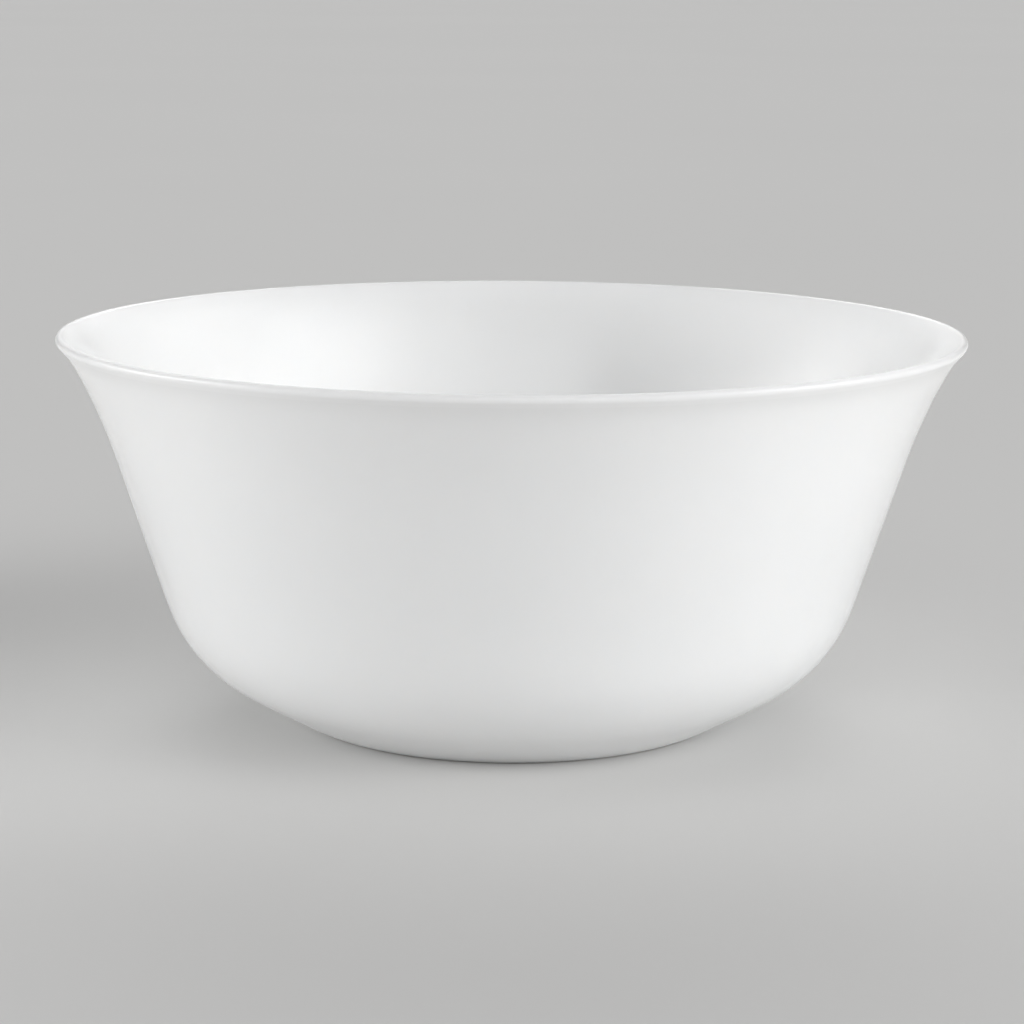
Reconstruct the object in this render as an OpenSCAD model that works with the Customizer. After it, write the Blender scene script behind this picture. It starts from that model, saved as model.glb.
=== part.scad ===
// Deep round dish in one piece: a flared lip with a rounded edge, a straight tapering wall,
// a soft shoulder, a shallow underside and a low foot ring around a recessed base.
// Millimetres. The Z axis is the axis of the dish, and Z = 0 is the surface that it stands on.

/* [Overall] */
// Outer diameter over the lip
rim_d = 240; // [200:1:300]
// Height from the standing surface to the top of the lip
height = 104; // [85:0.5:130]

/* [Lip] */
// Thickness of the glass or porcelain at the lip, which ends in a full round
lip_t = 2.4; // [2:0.1:4]
// Lean of the lip from vertical, outward, in degrees
lip_lean = 43; // [34:0.5:50]
// Straight run between the round edge and the tight bend of the lip
lip_run = 1.2; // [0:0.1:4]
// Radius of the tight bend under the lip, on the outer face
lip_bend_r = 28; // [15:1:45]
// Lean of the outer face where the tight bend meets the wide one, in degrees
flare_lean = 27.5; // [24:0.5:32]
// Radius of the wide bend between the flare and the wall, on the outer face
flare_bend_r = 148; // [80:1:190]

/* [Wall] */
// Lean of the straight wall from vertical, outward, in degrees
wall_lean = 18; // [12:0.5:22]
// Extra lean of the inner face, which thickens the wall towards the shoulder, in degrees
wall_taper = 0.8; // [0:0.1:1.5]

/* [Belly] */
// Radius of the shoulder between the wall and the underside, on the outer face
shoulder_r = 38; // [20:1:50]
// Rise of the underside from the foot to the shoulder, in degrees from horizontal
belly_rise = 29.5; // [22:0.5:34]
// Thickness of the belly, measured square to the underside
belly_t = 3.6; // [2.8:0.1:6]
// Radius between the belly and the flat floor inside
floor_bend_r = 45; // [10:1:60]
// Thickness of the floor above the recessed base
floor_t = 4; // [3:0.1:7]

/* [Foot] */
// Outer diameter of the ring that touches the standing surface
foot_d = 111; // [95:1:130]
// Width of the flat land of the foot ring
foot_w = 4; // [2.5:0.1:8]
// Height of the outer face of the foot, below the underside
foot_h = 1.4; // [0.8:0.1:4]
// Slope of the outer face of the foot, in degrees from horizontal
foot_slope = 25; // [20:1:60]
// Radius that softens both edges of the foot land
foot_edge_r = 2; // [0.5:0.1:3]
// Depth of the recess inside the foot ring
recess_h = 1.5; // [0.8:0.1:3]
// Slope of the inner face of the foot ring, in degrees from horizontal
recess_slope = 40; // [30:1:70]
// Radius between the inner face of the foot ring and the recessed base
recess_r = 5; // [1:0.5:8]

/* [Hidden] */

// Facets round the axis in the preview
turn_facets = 240;
// Largest gap between a true arc and its chords
chord_gap = 0.01;

// Direction of a line that leans by an angle from vertical, going up and outward
function along(lean) = [sin(lean), cos(lean)];

// Direction square to a leaning wall, pointing outward and down
function out_of(lean) = [cos(lean), -sin(lean)];

function last(list) = list[len(list) - 1];

function backwards(list) = [for (i = [len(list) - 1:-1:0]) list[i]];

// Where the line through p with lean a crosses the line through q with lean b
function crossing(p, a, q, b) = p + along(a) * cross(q - p, along(b)) / cross(along(a), along(b));

// Number of chords for a turn at a radius, within chord_gap
function chords(r, turn) = max(2, ceil(abs(turn) / (2 * acos(1 - chord_gap / r))));

// Points of an arc about a centre, from angle a through a turn
function arc(centre, r, a, turn) =
    let (n = chords(r, turn))
    [for (i = [0:n]) centre + r * [cos(a + turn * i / n), sin(a + turn * i / n)]];

// Arc down a face that bends away from the axis: it starts at p with lean a and ends with lean b
function bend_down(p, r, a, b) = arc(p + r * out_of(a), r, 180 - a, a - b);

// Arc that rounds the corner v between p and q; its radius is limited by the shorter side
function corner(p, v, q, r) =
    let (
        u = (p - v) / norm(p - v),
        w = (q - v) / norm(q - v),
        half = acos(u * w) / 2,
        side = min(norm(p - v), norm(q - v)),
        fitted = min(r, side * tan(half)),
        centre = v + (u + w) / norm(u + w) * fitted / sin(half),
        from_centre = v + u * fitted / tan(half) - centre,
        a = atan2(from_centre.y, from_centre.x)
    )
    arc(centre, fitted, a, sign(cross(v - p, q - v)) * (180 - 2 * half));

// Outer or inner face of the flare, from the lip down to the wall, at a depth t behind the outer face
function flare_face(t, end_lean) =
    let (
        top = lip_centre + (lip_t / 2 - t) * out_of(lip_lean),
        tight = bend_down(top - lip_run * along(lip_lean), lip_bend_r + t, lip_lean, flare_lean),
        wide = bend_down(last(tight), flare_bend_r + t, flare_lean, end_lean)
    )
    concat([top], tight, wide);

// Heights of the two flat faces on the axis
floor_z = recess_h + floor_t;
floor_mid = [0, floor_z];
base_mid = [0, recess_h];

// Flare, with both faces
lip_centre = [rim_d / 2 - lip_t / 2, height - lip_t / 2];
inner_lean = wall_lean + wall_taper;
outer_flare = flare_face(0, wall_lean);
inner_flare = flare_face(lip_t, inner_lean);
lip_edge = arc(lip_centre, lip_t / 2, -lip_lean, 180);

// Corners of the foot ring, from the recess outward
belly_lean = 90 - belly_rise;
land_out = [foot_d / 2, 0];
land_in = land_out - [foot_w, 0];
recess_edge = land_in + recess_h * [-1 / tan(recess_slope), 1];
foot_top = land_out + foot_h * [1 / tan(foot_slope), 1];

// Corners of the belly, outside and inside
belly_in = foot_top - belly_t * out_of(belly_lean);
shoulder_out = crossing(last(outer_flare), wall_lean, foot_top, belly_lean);
shoulder_in = crossing(last(inner_flare), inner_lean, belly_in, belly_lean);
floor_edge = crossing(belly_in, belly_lean, floor_mid, 90);

// Bends inside: the shoulder keeps the thickness of the belly, and the floor bend takes the length left
inner_shoulder = corner(last(inner_flare), shoulder_in, floor_edge, shoulder_r - belly_t);
inner_floor = corner(last(inner_shoulder), floor_edge, floor_mid, floor_bend_r);

// The section of the wall to the right of the axis, from the base out, up, over the lip and back
profile = concat(
    [base_mid],
    corner(base_mid, recess_edge, (recess_edge + land_in) / 2, recess_r),
    corner((recess_edge + land_in) / 2, land_in, (land_in + land_out) / 2, foot_edge_r),
    corner((land_in + land_out) / 2, land_out, foot_top, foot_edge_r),
    [foot_top],
    corner(foot_top, shoulder_out, last(outer_flare), shoulder_r),
    backwards(outer_flare),
    lip_edge,
    inner_flare,
    inner_shoulder,
    inner_floor,
    [floor_mid]
);

// The whole dish, turned from its section
module bowl() {
    color("white")
        rotate_extrude($fn = turn_facets)
            polygon(profile);
}

bowl();
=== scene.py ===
"""Deep white dish with a flared lip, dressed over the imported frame.

The dish is one body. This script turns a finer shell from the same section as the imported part, gives
it the small unevenness of pressed opal glass, and dresses its faces in procedural finishes.
"""

import logging
import math
from dataclasses import dataclass, field
from enum import Enum

import bmesh
import bpy
import numpy as np
from mathutils import Matrix, Vector, noise


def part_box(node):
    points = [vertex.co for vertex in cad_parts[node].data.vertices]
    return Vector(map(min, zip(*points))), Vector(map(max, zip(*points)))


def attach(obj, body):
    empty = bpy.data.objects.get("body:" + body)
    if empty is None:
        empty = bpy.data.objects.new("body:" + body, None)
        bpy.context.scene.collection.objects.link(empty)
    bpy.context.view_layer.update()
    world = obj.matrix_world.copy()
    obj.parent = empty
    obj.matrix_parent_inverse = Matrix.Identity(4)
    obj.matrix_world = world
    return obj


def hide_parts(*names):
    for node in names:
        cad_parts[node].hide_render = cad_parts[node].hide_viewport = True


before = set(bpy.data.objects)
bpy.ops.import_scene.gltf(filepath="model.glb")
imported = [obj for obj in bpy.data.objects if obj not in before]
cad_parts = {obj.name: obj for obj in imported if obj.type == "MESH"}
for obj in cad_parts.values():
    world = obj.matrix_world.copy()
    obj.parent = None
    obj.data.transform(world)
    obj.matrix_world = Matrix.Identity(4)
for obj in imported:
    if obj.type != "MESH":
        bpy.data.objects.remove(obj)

LOG = logging.getLogger("dish")
MM = 0.001
GLASS_IOR = 1.5
ON_AXIS = 1e-6  # a ring narrower than this is one point
SAME_POINT = 1e-9
FLOAT_SOCKET = "NodeSocketFloat"
MIX_INPUTS = (0, 6, 7)  # share and colours of a Mix node, whose names repeat for each kind of value
MIX_OUTPUT = 2


class Zone(Enum):
    """Stretches of the section that take a finish of their own, in material slot order."""

    OUTSIDE = 0
    INSIDE = 1
    LIP = 2
    FOOT = 3
    BASE = 4


# ---------------------------------------------------------------- shader node groups


class NodeSheet:
    """A node tree with short calls for adding and joining its nodes."""

    column_width = 180
    row_height = 140
    rows = 3

    def __init__(self, tree: bpy.types.NodeTree) -> None:
        """Take over the tree and place new nodes from its left edge."""
        self.tree = tree
        self.column = 0

    def add(self, kind: str, **settings: object) -> bpy.types.Node:
        """Add a node.

        Args:
            kind: Blender's name of the node class.
            settings: Properties to set on the node.

        Returns:
            The new node.
        """
        node = self.tree.nodes.new(kind)
        node.location = (self.column_width * self.column, -self.row_height * (self.column % self.rows))
        self.column += 1
        for name, value in settings.items():
            setattr(node, name, value)
        return node

    def feed(self, socket: bpy.types.NodeSocket, value: object) -> None:
        """Join an output to the socket, or set the socket to a plain value.

        Args:
            socket: The socket to feed.
            value: An output, or what the socket itself is set to.
        """
        if isinstance(value, bpy.types.NodeSocket):
            self.tree.links.new(value, socket)
        else:
            socket.default_value = value

    def maths(self, operation: str, *values: object, clamp: bool = False) -> bpy.types.NodeSocket:
        """Add a Math node.

        Args:
            operation: The Math node's operation.
            values: An output or a number for each input in turn.
            clamp: Whether the result is held between 0 and 1.

        Returns:
            The node's output.
        """
        node = self.add("ShaderNodeMath", operation=operation, use_clamp=clamp)
        for socket, value in zip(node.inputs, values, strict=False):
            self.feed(socket, value)
        return node.outputs[0]

    def ramp(self, value: object, low: object, high: object, to_low: float = 0.0,
             to_high: float = 1.0) -> bpy.types.NodeSocket:
        """Map a value smoothly from one range to another, held at both ends.

        Args:
            value: The output or number to map.
            low: Start of the range that it comes from.
            high: End of the range that it comes from.
            to_low: Result at the start.
            to_high: Result at the end.

        Returns:
            The mapped output.
        """
        node = self.add("ShaderNodeMapRange", interpolation_type="SMOOTHSTEP")
        for name, given in zip(("Value", "From Min", "From Max", "To Min", "To Max"),
                               (value, low, high, to_low, to_high), strict=True):
            self.feed(node.inputs[name], given)
        return node.outputs["Result"]

    def blend(self, share: object, first: object, second: object) -> bpy.types.NodeSocket:
        """Mix two colours.

        Args:
            share: Share of the second colour.
            first: Colour at share 0.
            second: Colour at share 1.

        Returns:
            The mixed colour.
        """
        node = self.add("ShaderNodeMix", data_type="RGBA")
        for index, value in zip(MIX_INPUTS, (share, first, second), strict=True):
            self.feed(node.inputs[index], value)
        return node.outputs[MIX_OUTPUT]

    def noise(self, vector: object, size: object, detail: float = 2.0) -> bpy.types.NodeSocket:
        """Add a noise pattern.

        Args:
            vector: Coordinates in metres.
            size: Size of its blotches in metres, as a number or an output.
            detail: Number of finer layers.

        Returns:
            The noise value, from 0 to 1.
        """
        node = self.add("ShaderNodeTexNoise")
        self.feed(node.inputs["Vector"], vector)
        self.feed(node.inputs["Scale"], self.maths("DIVIDE", 1.0, size))
        node.inputs["Detail"].default_value = detail
        return node.outputs["Fac"]

    def place(self) -> bpy.types.NodeSocket:
        """Return the place on the piece, in metres in the shared frame."""
        return self.add("ShaderNodeTexCoord").outputs["Object"]


class ShaderGroup:
    """A shader node group that is built once and then placed in any material."""

    name = "group"
    inputs: dict[str, float] = {}
    output = "Mask"

    def draw(self, sheet: NodeSheet, given: dict[str, bpy.types.NodeSocket]) -> bpy.types.NodeSocket:
        """Draw the nodes of the group.

        Args:
            sheet: The group's own node sheet.
            given: Its inputs by name.

        Returns:
            What feeds the group's output.
        """
        raise NotImplementedError

    def tree(self) -> bpy.types.NodeTree:
        """Build the group's tree on the first call.

        Returns:
            The tree.
        """
        if self.name in bpy.data.node_groups:
            return bpy.data.node_groups[self.name]
        tree = bpy.data.node_groups.new(self.name, "ShaderNodeTree")
        for name, value in self.inputs.items():
            socket = tree.interface.new_socket(name, in_out="INPUT", socket_type=FLOAT_SOCKET)
            socket.default_value = value
        tree.interface.new_socket(self.output, in_out="OUTPUT", socket_type=FLOAT_SOCKET)
        sheet = NodeSheet(tree)
        start = sheet.add("NodeGroupInput")
        found = self.draw(sheet, {name: start.outputs[name] for name in self.inputs})
        end = sheet.add("NodeGroupOutput")
        sheet.feed(end.inputs[self.output], found)
        return tree

    def put(self, sheet: NodeSheet, **values: object) -> bpy.types.Node:
        """Place the group in a material.

        Args:
            sheet: The material's node sheet.
            values: A number or an output for each input, with underscores for spaces.

        Returns:
            The placed group node.
        """
        node = sheet.add("ShaderNodeGroup")
        node.node_tree = self.tree()
        for name, value in values.items():
            sheet.feed(node.inputs[name.replace("_", " ").title()], value)
        return node


class MeltRipple(ShaderGroup):
    """Broad and fine ripples left in a surface that was once molten."""

    name = "melt_ripple"
    inputs = {"Broad Size": 0.02, "Fine Size": 0.002, "Fine Share": 0.1}
    output = "Height"

    def draw(self, sheet: NodeSheet, given: dict[str, bpy.types.NodeSocket]) -> bpy.types.NodeSocket:
        """Draw two layers of noise and add them by share.

        Args:
            sheet: The group's own node sheet.
            given: Its inputs by name.

        Returns:
            What feeds the group's output.
        """
        place = sheet.place()
        broad = sheet.noise(place, given["Broad Size"], detail=1.0)
        fine = sheet.noise(place, given["Fine Size"], detail=2.0)
        return sheet.maths("MULTIPLY_ADD", fine, given["Fine Share"], broad)


class FiredSpecks(ShaderGroup):
    """A few round specks, each a tiny pit, scattered over the body."""

    name = "fired_specks"
    inputs = {"Spacing": 0.02, "Speck Size": 0.0003, "Share": 0.3}
    hard_core = 0.4

    def draw(self, sheet: NodeSheet, given: dict[str, bpy.types.NodeSocket]) -> bpy.types.NodeSocket:
        """Draw cells, keep the centre of some of them, and soften its edge.

        Args:
            sheet: The group's own node sheet.
            given: Its inputs by name.

        Returns:
            What feeds the group's output.
        """
        cells = sheet.add("ShaderNodeTexVoronoi")
        sheet.feed(cells.inputs["Vector"], sheet.place())
        sheet.feed(cells.inputs["Scale"], sheet.maths("DIVIDE", 1.0, given["Spacing"]))
        reach = sheet.maths("DIVIDE", given["Speck Size"], given["Spacing"])
        core = sheet.maths("MULTIPLY", reach, self.hard_core)
        spot = sheet.ramp(cells.outputs["Distance"], core, reach, 1.0, 0.0)
        parts = sheet.add("ShaderNodeSeparateColor")
        sheet.feed(parts.inputs[0], cells.outputs["Color"])
        kept = sheet.maths("LESS_THAN", parts.outputs[0], given["Share"])
        return sheet.maths("MULTIPLY", spot, kept)


class HandMarks(ShaderGroup):
    """Dull, cloudy patches where hands and cloths have touched the gloss."""

    name = "hand_marks"
    inputs = {"Patch Size": 0.05, "Cover": 0.4}
    edge_width = 0.15
    streak_size = 4 * MM
    streak_range = (0.3, 0.7)
    least_streak = 0.4

    def draw(self, sheet: NodeSheet, given: dict[str, bpy.types.NodeSocket]) -> bpy.types.NodeSocket:
        """Draw cloudy patches and break them up with finer noise.

        Args:
            sheet: The group's own node sheet.
            given: Its inputs by name.

        Returns:
            What feeds the group's output.
        """
        place = sheet.place()
        patch = sheet.noise(place, given["Patch Size"], detail=3.0)
        edge = sheet.maths("SUBTRACT", 1.0, given["Cover"])
        low_edge = sheet.maths("SUBTRACT", edge, self.edge_width)
        high_edge = sheet.maths("ADD", edge, self.edge_width)
        cover = sheet.ramp(patch, low_edge, high_edge)
        streaks = sheet.noise(place, self.streak_size, detail=3.0)
        streaks = sheet.ramp(streaks, *self.streak_range, self.least_streak, 1.0)
        return sheet.maths("MULTIPLY", cover, streaks)


class FineScratches(ShaderGroup):
    """Thin scratches in three directions, from use or from grinding."""

    name = "fine_scratches"
    inputs = {"Spacing": 0.006, "Cover": 0.3}
    angles = (0.35, 1.45, 2.5)
    stretch = 0.04
    line_share = 0.15
    line_width = 0.05
    bunch_share = 2.0
    bunch_range = (0.5, 0.62)

    def draw(self, sheet: NodeSheet, given: dict[str, bpy.types.NodeSocket]) -> bpy.types.NodeSocket:
        """Draw one layer of drawn-out noise for each direction and keep its thin crests.

        Args:
            sheet: The group's own node sheet.
            given: Its inputs by name.

        Returns:
            What feeds the group's output.
        """
        total = None
        for turn in self.angles:
            turned = sheet.add("ShaderNodeMapping")
            sheet.feed(turned.inputs["Vector"], sheet.place())
            turned.inputs["Rotation"].default_value = (0.0, 0.0, turn)
            turned.inputs["Scale"].default_value = (self.stretch, 1.0, self.stretch)
            fine = sheet.maths("MULTIPLY", given["Spacing"], self.line_share)
            lines = sheet.noise(turned.outputs[0], fine, detail=1.0)
            crest = sheet.maths("ABSOLUTE", sheet.maths("SUBTRACT", lines, 0.5))
            width = sheet.maths("MULTIPLY", given["Cover"], self.line_width)
            bunch = sheet.maths("MULTIPLY", given["Spacing"], self.bunch_share + turn)
            where = sheet.ramp(sheet.noise(sheet.place(), bunch, detail=2.0), *self.bunch_range)
            line = sheet.maths("MULTIPLY", sheet.ramp(crest, 0.0, width, 1.0, 0.0), where)
            total = line if total is None else sheet.maths("MAXIMUM", total, line)
        return total


class SoftWindow(ShaderGroup):
    """A wide soft window of far light with gentle edges, set by angles in degrees."""

    name = "soft_window"
    inputs = {"Turn": 0.0, "Rise": 0.0, "Wide": 10.0, "High": 10.0, "Edge": 5.0, "Light": 1.0}
    output = "Light"

    def draw(self, sheet: NodeSheet, given: dict[str, bpy.types.NodeSocket]) -> bpy.types.NodeSocket:
        """Draw a smooth step at each side of the window over the way looked.

        Args:
            sheet: The group's own node sheet.
            given: Its inputs by name.

        Returns:
            What feeds the group's output.
        """
        parts = sheet.add("ShaderNodeSeparateXYZ")
        sheet.feed(parts.inputs[0], sheet.add("ShaderNodeTexCoord").outputs["Generated"])
        turn = sheet.maths("DEGREES", sheet.maths("ARCTAN2", parts.outputs["Y"], parts.outputs["X"]))
        rise = sheet.maths("DEGREES", sheet.maths("ARCSINE", parts.outputs["Z"]))
        away = sheet.maths("WRAP", sheet.maths("SUBTRACT", turn, given["Turn"]), 180.0, -180.0)
        share = given["Light"]
        above = sheet.maths("SUBTRACT", rise, given["Rise"])
        for gap, reach in ((away, given["Wide"]), (above, given["High"])):
            inside = sheet.maths("SUBTRACT", reach, sheet.maths("ABSOLUTE", gap))
            side = sheet.ramp(inside, sheet.maths("MULTIPLY", given["Edge"], -1.0), given["Edge"])
            share = sheet.maths("MULTIPLY", share, side)
        return share


RIPPLE = MeltRipple()
WINDOW = SoftWindow()
SPECKS = FiredSpecks()
MARKS = HandMarks()
SCRATCHES = FineScratches()


# ---------------------------------------------------------------- finishes


def new_material(name: str) -> tuple[bpy.types.Material, NodeSheet, bpy.types.Node]:
    """Make a material with a Principled shader.

    Args:
        name: The material's name.

    Returns:
        The material, its node sheet and its shader.
    """
    material = bpy.data.materials.new(name)
    material.use_nodes = True
    sheet = NodeSheet(material.node_tree)
    material.node_tree.nodes.clear()
    shader = sheet.add("ShaderNodeBsdfPrincipled")
    end = sheet.add("ShaderNodeOutputMaterial")
    material.node_tree.links.new(shader.outputs[0], end.inputs["Surface"])
    return material, sheet, shader


@dataclass(frozen=True)
class WhiteGlass:
    """Glossy white opal glass, with its ripple, its few specks and the dulling of use.

    gloss and dulled are its least and most roughness. From the height satin_from up, its roughness rises
    and is held at satin. Scratches lie below the height worn_below.
    """

    name: str
    colour: tuple[float, float, float] = (0.885, 0.892, 0.892)
    milk: tuple[float, float, float] = (0.865, 0.875, 0.878)
    speck: tuple[float, float, float] = (0.42, 0.40, 0.37)
    milk_depth: float = 8 * MM
    milk_reach: tuple[float, float, float] = (1.0, 0.97, 0.94)
    cloud_size: float = 45 * MM
    cloud_range: tuple[float, float] = (0.3, 0.7)
    gloss: float = 0.16
    dulled: float = 0.22
    ripple_height: float = 0.06 * MM
    broad_size: float = 26 * MM
    fine_size: float = 3 * MM
    fine_share: float = 0.03
    speck_share: float = 0.12
    speck_size: float = 0.35 * MM
    speck_spacing: float = 24 * MM
    speck_pit: float = 0.3
    marks: float = 0.35
    mark_size: float = 55 * MM
    mark_dulling: float = 0.35
    scratches: float = 0.0
    scratch_spacing: float = 7 * MM
    scratch_depth: float = 0.05
    worn_below: float = 0.0
    most_worn_share: float = 0.5
    reflection: float = 0.5
    satin: float = 0.265
    satin_from: float = 0.0
    satin_run: float = 9 * MM

    def material(self) -> bpy.types.Material:
        """Build the material.

        Returns:
            The material.
        """
        material, sheet, shader = new_material(self.name)
        place = sheet.place()
        clouds = sheet.noise(place, self.cloud_size, detail=3.0)
        milky = sheet.ramp(clouds, *self.cloud_range)
        body = sheet.blend(milky, (*self.colour, 1), (*self.milk, 1))
        specks = SPECKS.put(sheet, spacing=self.speck_spacing, speck_size=self.speck_size,
                            share=self.speck_share)
        colour = sheet.blend(specks.outputs["Mask"], body, (*self.speck, 1))
        sheet.feed(shader.inputs["Base Color"], colour)

        marks = MARKS.put(sheet, patch_size=self.mark_size, cover=self.marks)
        dull = sheet.maths("MULTIPLY", marks.outputs["Mask"], self.mark_dulling)
        ripple = RIPPLE.put(sheet, broad_size=self.broad_size, fine_size=self.fine_size,
                            fine_share=self.fine_share)
        height = ripple.outputs["Height"]
        parts = sheet.add("ShaderNodeSeparateXYZ")
        sheet.feed(parts.inputs[0], place)
        if self.scratches > 0:
            most_worn = self.worn_below * self.most_worn_share
            low = sheet.ramp(parts.outputs["Z"], most_worn, self.worn_below, 1.0, 0.0)
            lines = SCRATCHES.put(sheet, spacing=self.scratch_spacing, cover=self.scratches)
            worn = sheet.maths("MULTIPLY", lines.outputs["Mask"], low)
            dull = sheet.maths("MAXIMUM", dull, worn)
            height = sheet.maths("MULTIPLY_ADD", worn, -self.scratch_depth, height)
        rough = sheet.ramp(dull, 0.0, 1.0, self.gloss, self.dulled)
        if self.satin_from > 0:
            # The cap keeps the denoiser from treating part of the gloss as matt, which draws a line.
            near_lip = sheet.ramp(parts.outputs["Z"], self.satin_from, self.satin_from + self.satin_run,
                                  0.0, self.satin - self.gloss)
            rough = sheet.maths("MINIMUM", sheet.maths("ADD", rough, near_lip), self.satin)
        sheet.feed(shader.inputs["Roughness"], rough)
        height = sheet.maths("MULTIPLY_ADD", specks.outputs["Mask"], -self.speck_pit, height)
        bump = sheet.add("ShaderNodeBump")
        bump.inputs["Distance"].default_value = self.ripple_height
        sheet.feed(bump.inputs["Height"], height)
        sheet.feed(shader.inputs["Normal"], bump.outputs[0])
        shader.inputs["IOR"].default_value = GLASS_IOR
        shader.inputs["Specular IOR Level"].default_value = self.reflection
        shader.inputs["Subsurface Weight"].default_value = 1.0
        shader.inputs["Subsurface Radius"].default_value = self.milk_reach
        shader.inputs["Subsurface Scale"].default_value = self.milk_depth
        return material


@dataclass(frozen=True)
class GroundGlass:
    """Matt land of the foot, where the gloss is ground and rubbed away."""

    name: str = "ground_foot"
    colour: tuple[float, float, float] = (0.70, 0.695, 0.68)
    grime: tuple[float, float, float] = (0.50, 0.48, 0.45)
    rough: float = 0.62
    polished: float = 0.4
    mark_size: float = 14 * MM
    marks: float = 0.45
    scratch_spacing: float = 3 * MM
    scratches: float = 0.7
    scratch_dirt: float = 0.4
    mark_dirt: float = 0.45
    grain: float = 1.2 * MM
    fine_grain: float = 0.4 * MM
    fine_share: float = 0.6
    grain_height: float = 0.02 * MM

    def material(self) -> bpy.types.Material:
        """Build the material.

        Returns:
            The material.
        """
        material, sheet, shader = new_material(self.name)
        marks = MARKS.put(sheet, patch_size=self.mark_size, cover=self.marks)
        lines = SCRATCHES.put(sheet, spacing=self.scratch_spacing, cover=self.scratches)
        stain = sheet.maths("MULTIPLY", marks.outputs["Mask"], self.mark_dirt)
        dirt = sheet.maths("MULTIPLY_ADD", lines.outputs["Mask"], self.scratch_dirt, stain, clamp=True)
        sheet.feed(shader.inputs["Base Color"], sheet.blend(dirt, (*self.colour, 1), (*self.grime, 1)))
        sheet.feed(shader.inputs["Roughness"],
                   sheet.ramp(marks.outputs["Mask"], 0.0, 1.0, self.rough, self.polished))
        ripple = RIPPLE.put(sheet, broad_size=self.grain, fine_size=self.fine_grain,
                            fine_share=self.fine_share)
        bump = sheet.add("ShaderNodeBump")
        bump.inputs["Distance"].default_value = self.grain_height
        sheet.feed(bump.inputs["Height"], ripple.outputs["Height"])
        sheet.feed(shader.inputs["Normal"], bump.outputs[0])
        shader.inputs["IOR"].default_value = GLASS_IOR
        return material


@dataclass(frozen=True)
class PaleFloor:
    """Plain pale studio floor."""

    name: str = "pale_floor"
    colour: tuple[float, float, float] = (0.72, 0.717, 0.71)
    darker_share: float = 0.97
    cloud_size: float = 0.9
    rough: float = 0.9
    sheen: float = 0.05

    def material(self) -> bpy.types.Material:
        """Build the material.

        Returns:
            The material.
        """
        material, sheet, shader = new_material(self.name)
        clouds = sheet.noise(sheet.place(), self.cloud_size, detail=3.0)
        darker = tuple(self.darker_share * part for part in self.colour)
        sheet.feed(shader.inputs["Base Color"], sheet.blend(clouds, (*self.colour, 1), (*darker, 1)))
        shader.inputs["Roughness"].default_value = self.rough
        shader.inputs["Specular IOR Level"].default_value = self.sheen
        return material


# ---------------------------------------------------------------- the section of the dish


def along(lean: float) -> np.ndarray:
    """Direction of a line that leans by an angle from vertical, up and outward."""
    return np.array([math.sin(lean), math.cos(lean)])


def out_of(lean: float) -> np.ndarray:
    """Direction square to a leaning wall, outward and down."""
    return np.array([math.cos(lean), -math.sin(lean)])


def crossing(p: np.ndarray, a: float, q: np.ndarray, b: float) -> np.ndarray:
    """Find where two leaning lines cross.

    Args:
        p: A point on the first line.
        a: Lean of the first line.
        q: A point on the second line.
        b: Lean of the second line.

    Returns:
        The crossing point.
    """
    u, v, gap = along(a), along(b), q - p
    return p + u * (gap[0] * v[1] - gap[1] * v[0]) / (u[0] * v[1] - u[1] * v[0])


def arc(centre: np.ndarray, radius: float, start: float, turn: float, steps: int = 48) -> list[np.ndarray]:
    """Draw an arc.

    Args:
        centre: Its centre.
        radius: Its radius.
        start: Angle of its first point.
        turn: Angle that it turns through.
        steps: Number of chords.

    Returns:
        Its points in order.
    """
    angles = (start + turn * i / steps for i in range(steps + 1))
    return [centre + radius * np.array([math.cos(a), math.sin(a)]) for a in angles]


def corner(p: np.ndarray, v: np.ndarray, q: np.ndarray, radius: float) -> list[np.ndarray]:
    """Round the corner v between p and q, by no more than its shorter side leaves room for.

    Args:
        p: A point on the way in.
        v: The corner.
        q: A point on the way out.
        radius: Radius wanted.

    Returns:
        The points of the arc in order.
    """
    back, on = np.linalg.norm(p - v), np.linalg.norm(q - v)
    u, w = (p - v) / back, (q - v) / on
    half = math.acos(float(u @ w)) / 2
    radius = min(radius, min(back, on) * math.tan(half))
    centre = v + (u + w) / np.linalg.norm(u + w) * radius / math.sin(half)
    first = v + u * radius / math.tan(half) - centre
    side = (v - p)[0] * (q - v)[1] - (v - p)[1] * (q - v)[0]
    return arc(centre, radius, math.atan2(first[1], first[0]), math.copysign(math.pi - 2 * half, side))


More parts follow.
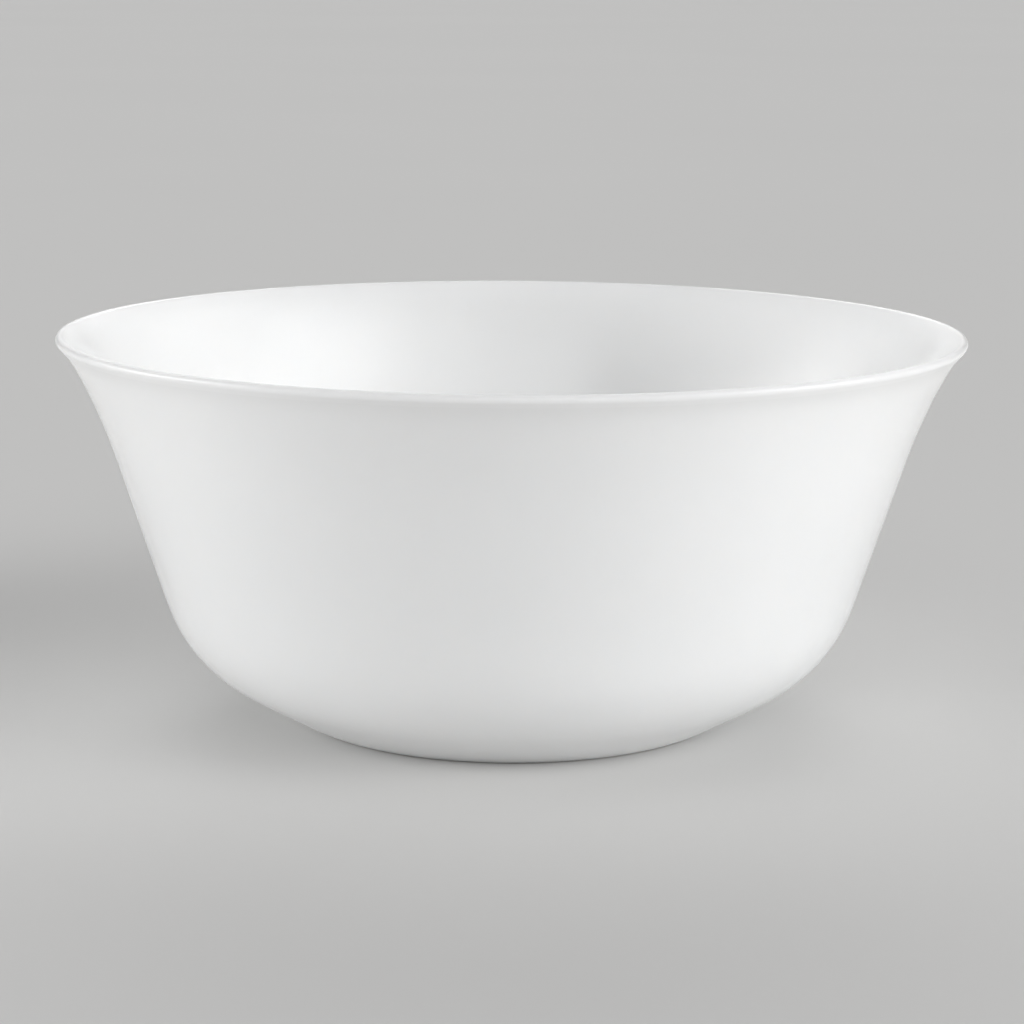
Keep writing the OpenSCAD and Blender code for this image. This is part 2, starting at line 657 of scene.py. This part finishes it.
@dataclass
class DishSection:
    """The section of the wall to the right of the axis, in metres.

    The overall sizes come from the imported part, and the rest are the sizes of its section. A lean is an
    angle from vertical.
    """

    rim_r: float
    height: float
    lip_t: float = 2.4 * MM
    bead_r: float = 1.28 * MM
    lip_lean: float = math.radians(43)
    lip_run: float = 1.2 * MM
    lip_bend_r: float = 28 * MM
    flare_lean: float = math.radians(27.5)
    flare_bend_r: float = 148 * MM
    wall_lean: float = math.radians(18)
    wall_taper: float = math.radians(0.8)
    shoulder_r: float = 38 * MM
    belly_rise: float = math.radians(29.5)
    belly_t: float = 3.6 * MM
    floor_bend_r: float = 45 * MM
    floor_t: float = 4 * MM
    foot_r: float = 55.5 * MM
    foot_w: float = 4 * MM
    foot_h: float = 1.4 * MM
    foot_slope: float = math.radians(25)
    foot_edge_r: float = 2 * MM
    recess_h: float = 1.5 * MM
    recess_slope: float = math.radians(40)
    recess_r: float = 5 * MM
    pressed_rings: tuple[float, ...] = (17 * MM, 31 * MM)
    pressed_ring_w: float = 0.8 * MM
    pressed_ring_h: float = 0.12 * MM

    def pressed(self, radius: float) -> float:
        """Return how far the pressed rings stand down from the recess at a radius."""
        offs = ((radius - ring) / self.pressed_ring_w for ring in self.pressed_rings)
        return self.pressed_ring_h * sum(math.exp(-(off ** 2)) for off in offs)

    def flare_face(self, depth: float, end_lean: float) -> list[np.ndarray]:
        """Draw one face of the flare, from the lip down to the wall.

        Args:
            depth: How far the face lies behind the outer face.
            end_lean: Lean of the wall that it runs into.

        Returns:
            The points of the face in order.
        """
        centre = np.array([self.rim_r - self.lip_t / 2, self.height - self.lip_t / 2])
        points = []
        start = centre + (self.lip_t / 2 - depth) * out_of(self.lip_lean)
        start = start - self.lip_run * along(self.lip_lean)
        bends = ((self.lip_bend_r, self.lip_lean, self.flare_lean),
                 (self.flare_bend_r, self.flare_lean, end_lean))
        for radius, first, final in bends:
            middle = start + (radius + depth) * out_of(first)
            points += arc(middle, radius + depth, math.pi - first, first - final)
            start = points[-1]
        return points

    def lip_edge(self) -> list[np.ndarray]:
        """Draw the rounded bead that runs along the lip, a little thicker than the wall below it.

        Returns:
            Its points in order, from outside to inside.
        """
        core = np.array([self.rim_r - self.lip_t / 2, self.height - self.lip_t / 2])
        centre = np.array([self.rim_r - self.bead_r, self.height - self.bead_r])
        off = float((centre - core) @ out_of(self.lip_lean))
        outer = math.acos((self.lip_t / 2 - off) / self.bead_r)
        inner = math.acos((self.lip_t / 2 + off) / self.bead_r)
        return arc(centre, self.bead_r, outer - self.lip_lean, math.pi - outer - inner)

    def stretches(self) -> list[tuple[Zone, list[np.ndarray]]]:
        """Draw the section in stretches, from the base out and back in.

        Returns:
            Each stretch's zone and points.
        """
        belly_lean = math.pi / 2 - self.belly_rise
        inner_lean = self.wall_lean + self.wall_taper
        base_mid = np.array([0.0, self.recess_h])
        floor_mid = np.array([0.0, self.recess_h + self.floor_t])
        land_out = np.array([self.foot_r, 0.0])
        land_in = land_out - np.array([self.foot_w, 0.0])
        land_mid = (land_in + land_out) / 2
        recess_edge = land_in + self.recess_h * np.array([-1 / math.tan(self.recess_slope), 1.0])
        step_mid = (recess_edge + land_in) / 2
        foot_top = land_out + self.foot_h * np.array([1 / math.tan(self.foot_slope), 1.0])
        outer = self.flare_face(0.0, self.wall_lean)
        inner = self.flare_face(self.lip_t, inner_lean)
        belly_in = foot_top - self.belly_t * out_of(belly_lean)
        shoulder_out = crossing(outer[-1], self.wall_lean, foot_top, belly_lean)
        shoulder_in = crossing(inner[-1], inner_lean, belly_in, belly_lean)
        floor_edge = crossing(belly_in, belly_lean, floor_mid, math.pi / 2)
        inner_shoulder = corner(inner[-1], shoulder_in, floor_edge, self.shoulder_r - self.belly_t)
        inner_floor = corner(inner_shoulder[-1], floor_edge, floor_mid, self.floor_bend_r)
        return [
            (Zone.BASE, [base_mid, *corner(base_mid, recess_edge, step_mid, self.recess_r)]),
            (Zone.FOOT, corner(step_mid, land_in, land_mid, self.foot_edge_r)),
            (Zone.FOOT, corner(land_mid, land_out, foot_top, self.foot_edge_r)),
            (Zone.OUTSIDE, [foot_top, *corner(foot_top, shoulder_out, outer[-1], self.shoulder_r)]),
            (Zone.OUTSIDE, outer[::-1]),
            (Zone.LIP, self.lip_edge()),
            (Zone.INSIDE, inner),
            (Zone.INSIDE, inner_shoulder),
            (Zone.INSIDE, [*inner_floor, floor_mid]),
        ]


@dataclass
class Walk:
    """A flowing walk along the section: a point for each ring, and the zone it lies in."""

    points: np.ndarray
    zones: list[Zone]


@dataclass
class FlowingSection:
    """Softens the joins between the arcs of a section and spaces its rings by how tightly it bends."""

    section: DishSection
    dense_step: float = 0.05 * MM
    widest_step: float = 2.6 * MM
    finest_step: float = 0.26 * MM
    degrees_a_step: float = 3.2
    softness: float = 2.2 * MM
    least_softness: float = 0.4 * MM
    bell_reach: int = 4
    tight_reach: int = 3
    bend_window: int = 21
    least_bend: float = 1e-6

    def dense(self) -> tuple[np.ndarray, np.ndarray]:
        """Space the section's points evenly and closely.

        Returns:
            The points, and the zone number of each.
        """
        points, zones = [], []
        for zone, stretch in self.section.stretches():
            points += stretch
            zones += [zone.value] * len(stretch)
        line = np.array(points)
        keep = np.r_[True, np.linalg.norm(np.diff(line, axis=0), axis=1) > SAME_POINT]
        line, marks = line[keep], np.array(zones)[keep]
        run = np.r_[0.0, np.cumsum(np.linalg.norm(np.diff(line, axis=0), axis=1))]
        even = np.linspace(0.0, run[-1], int(run[-1] / self.dense_step))
        close = np.column_stack([np.interp(even, run, line[:, k]) for k in (0, 1)])
        return close, marks[np.searchsorted(run, even, side="left").clip(0, len(marks) - 1)]

    def softened(self, line: np.ndarray, widths: np.ndarray) -> np.ndarray:
        """Average each point with its neighbours under a bell of its own width.

        Args:
            line: Close, evenly spaced points.
            widths: Width of the bell at each point.

        Returns:
            The softened points.
        """
        pad = int(self.bell_reach * self.softness / self.dense_step)
        flip = np.array([-1.0, 1.0])
        long = np.vstack([line[1:pad + 1][::-1] * flip, line, line[-pad - 1:-1][::-1] * flip])
        offsets = np.arange(-pad, pad + 1)
        result = np.empty_like(line)
        for i, width in enumerate(widths):
            weights = np.exp(-0.5 * (offsets * self.dense_step / width) ** 2)
            result[i] = weights @ long[i:i + 2 * pad + 1] / weights.sum()
        return result

    def walk(self) -> Walk:
        """Soften the section and choose the rings' places along it.

        Returns:
            The walk along the flowing section.
        """
        line, marks = self.dense()
        tight = np.isin(marks, (Zone.LIP.value, Zone.FOOT.value, Zone.BASE.value))
        reach = int(self.tight_reach * self.softness / self.dense_step)
        near = np.convolve(tight, np.ones(2 * reach + 1), "same") > 0
        share = np.convolve(near, np.ones(reach) / reach, "same").clip(0, 1)
        smooth = self.softened(line, self.softness * (1 - share) + self.least_softness)
        smooth[0, 0] = smooth[-1, 0] = 0.0
        for i in np.flatnonzero(marks == Zone.BASE.value):
            smooth[i, 1] -= self.section.pressed(smooth[i, 0])
        heading = np.unwrap(np.arctan2(*np.gradient(smooth, axis=0).T[::-1]))
        bend = np.abs(np.gradient(heading)) / self.dense_step
        bend = np.convolve(bend, np.ones(self.bend_window) / self.bend_window, "same")
        step = math.radians(self.degrees_a_step) / np.maximum(bend, self.least_bend)
        step = step.clip(self.finest_step, self.widest_step)
        ticks = np.r_[0.0, np.cumsum(self.dense_step / step)]
        count = int(round(ticks[-2]))
        at = np.interp(np.linspace(0, ticks[-2], count + 1), ticks[:-1], np.arange(len(smooth)))
        rings = np.column_stack([np.interp(at, np.arange(len(smooth)), smooth[:, k]) for k in (0, 1)])
        zones = [Zone(int(marks[int(i)])) for i in at]
        return Walk(rings, zones)


# ---------------------------------------------------------------- the dish


@dataclass
class DishShell:
    """The one body of the dish, turned from its section and dressed."""

    walk: Walk
    section: DishSection
    turns: int = 384
    oval: float = 0.12 * MM
    lip_wave: float = 0.10 * MM
    lip_wave_reach: float = 14 * MM
    lip_waves: float = 1.6
    fine_lip_waves: float = 2.7
    fine_lip_share: float = 0.4
    lip_seed: float = 4.0
    ripple: float = 0.045 * MM
    ripple_size: float = 34 * MM
    still_below: float = 3 * MM
    still_run: float = 12 * MM
    materials: list[bpy.types.Material] = field(default_factory=list)

    def place(self, radius: float, height: float, turn: float, rest: float) -> Vector:
        """Place one point of the shell, with the unevenness of pressed glass.

        Args:
            radius: Distance from the axis on the section.
            height: Height on the section.
            turn: Angle round the axis.
            rest: Share of the unevenness, which dies out at the foot.

        Returns:
            The point in the shared frame.
        """
        c, s = math.cos(turn), math.sin(turn)
        spot = Vector((radius * c, radius * s, height)) / self.ripple_size
        swell = self.ripple * noise.noise(spot) * rest
        near_lip = max(0.0, 1 - (self.section.height - height) / self.lip_wave_reach) ** 2
        around = Vector((self.lip_waves * c, self.lip_waves * s, self.lip_seed))
        wave = noise.noise(around) + self.fine_lip_share * noise.noise(around * self.fine_lip_waves)
        lift = self.lip_wave * wave * near_lip
        grown = radius * (1 + self.oval / self.section.rim_r * math.cos(2 * turn) * rest) + swell
        return Vector((grown * c, grown * s, height + lift))

    def mesh(self) -> bpy.types.Mesh:
        """Turn the section round the axis.

        Returns:
            The closed mesh.
        """
        shell = bmesh.new()
        rings = []
        for radius, height in self.walk.points:
            if radius < ON_AXIS:
                rings.append([shell.verts.new((0.0, 0.0, height))])
                continue
            rest = min(1.0, max(0.0, (height - self.still_below) / self.still_run))
            rings.append([shell.verts.new(self.place(radius, height, math.tau * k / self.turns, rest))
                          for k in range(self.turns)])
        for lower, upper, zone in zip(rings, rings[1:], self.walk.zones[1:], strict=False):
            for near in range(self.turns):
                far = (near + 1) % self.turns
                if len(lower) == 1:
                    loop = (lower[0], upper[near], upper[far])
                elif len(upper) == 1:
                    loop = (lower[far], lower[near], upper[0])
                else:
                    loop = (lower[far], lower[near], upper[near], upper[far])
                face = shell.faces.new(loop)
                face.smooth = True
                face.material_index = zone.value
        bmesh.ops.recalc_face_normals(shell, faces=shell.faces)
        mesh = bpy.data.meshes.new("bowl_shell")
        shell.to_mesh(mesh)
        shell.free()
        return mesh

    def build(self) -> bpy.types.Object:
        """Make the piece, dress it and seat it on the frame.

        Returns:
            The piece.
        """
        piece = bpy.data.objects.new("bowl_shell", self.mesh())
        bpy.context.scene.collection.objects.link(piece)
        for material in self.materials:
            piece.data.materials.append(material)
        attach(piece, "root")
        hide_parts("bowl")
        return piece


def finishes(height: float) -> list[bpy.types.Material]:
    """Build the finish of each zone.

    Args:
        height: Height of the lip, where the gloss softens.

    Returns:
        The materials in slot order.
    """
    by_zone = {
        Zone.OUTSIDE: WhiteGlass("white_outside", satin_from=height - 12 * MM),
        Zone.INSIDE: WhiteGlass("white_inside", marks=0.3, scratches=0.5, worn_below=40 * MM,
                                satin_from=height - 10 * MM),
        Zone.LIP: WhiteGlass("white_lip", gloss=0.26, dulled=0.265, reflection=0.32,
                             ripple_height=0.03 * MM, broad_size=9 * MM, marks=0.2, speck_share=0.0),
        Zone.FOOT: GroundGlass(),
        Zone.BASE: WhiteGlass("white_base", dulled=0.26, marks=0.55, speck_share=0.3),
    }
    return [by_zone[zone].material() for zone in Zone]


# ---------------------------------------------------------------- studio


@dataclass(frozen=True)
class FarWindow:
    """A wide soft window of far light.

    Its angles are in degrees. turn and rise point to its middle, round from +X and up from the floor. wide
    and high reach from there to each side, and edge is how far its rim fades to either side of that.
    """

    turn: float
    rise: float
    wide: float
    high: float
    light: float
    edge: float

    def place(self, sheet: NodeSheet) -> bpy.types.NodeSocket:
        """Place the window in the room's light and return its output."""
        window = WINDOW.put(sheet, turn=self.turn, rise=self.rise, wide=self.wide, high=self.high,
                            edge=self.edge, light=self.light)
        return window.outputs["Light"]


@dataclass
class Studio:
    """The floor, the room's light and the camera."""

    windows: tuple[FarWindow, ...] = (
        FarWindow(-11, 10, 24, 10, 4.25, 14),
        FarWindow(-15, 7, 14, 7, 8.5, 12),
        FarWindow(-176, 10, 33, 10, 3.5, 14),
        FarWindow(180, 7, 18, 7, 8.8, 12),
        FarWindow(92, 7, 14, 5, 0.8, 6),
        FarWindow(-75, 30, 40, 10, 2.7, 12),
        FarWindow(-25, 30, 17, 10, 2.6, 12),
        FarWindow(90, 30, 22, 10, 3.0, 14),
        FarWindow(90, 52, 50, 12, 0.35, 14),
        FarWindow(0, 90, 200, 26, 0.5, 12),
    )
    light_colour: tuple[float, float, float] = (1.0, 1.0, 1.0)
    backdrop: tuple[float, float, float] = (0.62, 0.62, 0.62)
    floor_reach: float = 40.0
    floor_gap: float = 0.05 * MM
    camera_back: float = 0.8
    camera_height: float = 0.20445
    pitch: float = math.radians(10.611)
    yaw: float = math.radians(0.026)
    roll: float = math.radians(0.35)
    lens: float = 106.45
    sensor_width: float = 36.0
    clip: tuple[float, float] = (0.01, 100.0)

    def floor(self) -> bpy.types.Object:
        """Lay the floor just under the dish.

        Returns:
            The floor.
        """
        mesh = bpy.data.meshes.new("floor")
        reach = self.floor_reach
        points = [(-reach, -reach, 0), (reach, -reach, 0), (reach, reach, 0), (-reach, reach, 0)]
        mesh.from_pydata(points, [], [(0, 1, 2, 3)])
        mesh.materials.append(PaleFloor().material())
        floor = bpy.data.objects.new("floor", mesh)
        floor.location.z = -self.floor_gap
        bpy.context.scene.collection.objects.link(floor)
        return floor

    def world(self) -> bpy.types.World:
        """Fill the room with soft light, which the camera sees as a plain backdrop.

        Returns:
            The world.
        """
        world = bpy.data.worlds.new("room")
        world.use_nodes = True
        sheet = NodeSheet(world.node_tree)
        world.node_tree.nodes.clear()
        total = 0.0
        for window in self.windows:
            total = sheet.maths("ADD", window.place(sheet), total)
        light = sheet.add("ShaderNodeBackground")
        light.inputs["Color"].default_value = (*self.light_colour, 1)
        sheet.feed(light.inputs["Strength"], total)
        plain = sheet.add("ShaderNodeBackground")
        plain.inputs["Color"].default_value = (*self.backdrop, 1)
        seen = sheet.add("ShaderNodeMixShader")
        sheet.feed(seen.inputs[0], sheet.add("ShaderNodeLightPath").outputs["Is Camera Ray"])
        sheet.feed(seen.inputs[1], light.outputs[0])
        sheet.feed(seen.inputs[2], plain.outputs[0])
        sheet.feed(sheet.add("ShaderNodeOutputWorld").inputs["Surface"], seen.outputs[0])
        bpy.context.scene.world = world
        return world

    def camera(self) -> bpy.types.Object:
        """Make the camera and set it for the scene.

        Returns:
            The camera.
        """
        data = bpy.data.cameras.new("camera")
        data.lens = self.lens
        data.sensor_width = self.sensor_width
        data.clip_start, data.clip_end = self.clip
        camera = bpy.data.objects.new("camera", data)
        yaw = Matrix.Rotation(-self.yaw, 4, "Z")
        pitch = Matrix.Rotation(math.pi / 2 - self.pitch, 4, "X")
        roll = Matrix.Rotation(self.roll, 4, "Z")
        stand = Matrix.Translation((0.0, -self.camera_back, self.camera_height))
        camera.matrix_world = stand @ yaw @ pitch @ roll
        bpy.context.scene.collection.objects.link(camera)
        bpy.context.scene.camera = camera
        return camera

    def build(self) -> None:
        """Set up the room."""
        self.camera()
        self.floor()
        self.world()
        bpy.context.scene.view_settings.view_transform = "Standard"


def main() -> None:
    """Build the dish and its studio."""
    logging.basicConfig(level=logging.INFO, format="%(message)s")
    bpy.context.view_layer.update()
    low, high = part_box("bowl")
    section = DishSection(rim_r=(high[0] - low[0]) / 2, height=high[2] - low[2])
    walk = FlowingSection(section).walk()
    shell = DishShell(walk, section, materials=finishes(section.height)).build()
    LOG.info("%s: %d rings, %d faces", shell.name, len(walk.points), len(shell.data.polygons))
    Studio().build()


if __name__ == "__main__":
    main()
